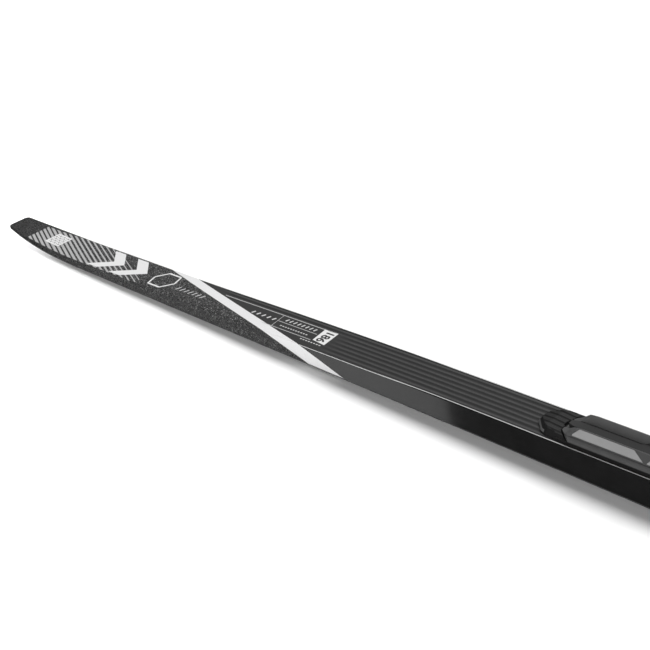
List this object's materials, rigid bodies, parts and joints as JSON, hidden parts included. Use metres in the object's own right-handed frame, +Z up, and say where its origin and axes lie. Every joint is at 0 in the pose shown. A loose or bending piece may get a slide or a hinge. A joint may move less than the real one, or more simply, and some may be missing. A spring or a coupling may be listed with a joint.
{
  "type": "cross country ski",
  "caption": "Skating cross-country ski with a cap-built laminate, ribbed top, manual toe-bar binding with a lifting lever, and a heel plate.",
  "frame": {"origin": "under the middle of the ski's length and width, at the height of its lowest point", "axes": "+X from the tip towards the tail, +Y across the ski, +Z up"},
  "size_m": [1.86, 0.044, 0.0448],
  "materials": {
    "base": "ground polyethylene",
    "topsheet": "lacquered, dark with pale stripes and a white band",
    "laminate": "glass fibre laminate",
    "core": "light channelled core",
    "spacer": "moulded",
    "black_plastic": "fine moulded grain",
    "housing_plastic": "fine moulded grain",
    "lever_plastic": "satin moulded",
    "grey_plastic": "satin moulded",
    "rubber": "matte",
    "steel": "brushed"
  },
  "bodies": {
    "ski": {"running_base": "base", "base_laminate": "laminate", "core": "core", "tip_spacer": "spacer", "tail_spacer": "spacer", "top_laminate": "laminate", "binding_reinforcement": "laminate", "topsheet": "topsheet", "tail_protector": "black_plastic", "nose_cap": "black_plastic", "base_plate": "black_plastic", "housing": "housing_plastic", "front_inlay_left": "grey_plastic", "front_inlay_right": "grey_plastic", "rear_inlay_left": "grey_plastic", "rear_inlay_right": "grey_plastic", "lever_pin": "steel", "bar_seat": "steel", "flexor": "rubber", "screw_front": "steel", "screw_left": "steel", "screw_right": "steel", "screw_rear": "steel", "heel_plate": "black_plastic", "heel_pad": "rubber", "heel_screw_front": "steel", "heel_screw_rear": "steel"},
    "lever_body": {"lever": "lever_plastic"},
    "latch_body": {"latch_slider": "steel"}
  },
  "joints": [
    {"name": "lever_hinge", "type": "hinge", "parent": "ski", "child": "lever_body", "pos_m": [0.06892, 0, 0.0368], "axis": [0, 1, 0], "range_deg": [0, 60]},
    {"name": "latch_slide", "type": "slide", "parent": "ski", "child": "latch_body", "axis": [-0.9999, 0, -0.0115], "range_m": [0, 0.0045]}
  ],
  "couplings": [
    {"joint": "latch_slide", "follows": "lever_hinge", "m_per_rad": 0.004297}
  ]
}
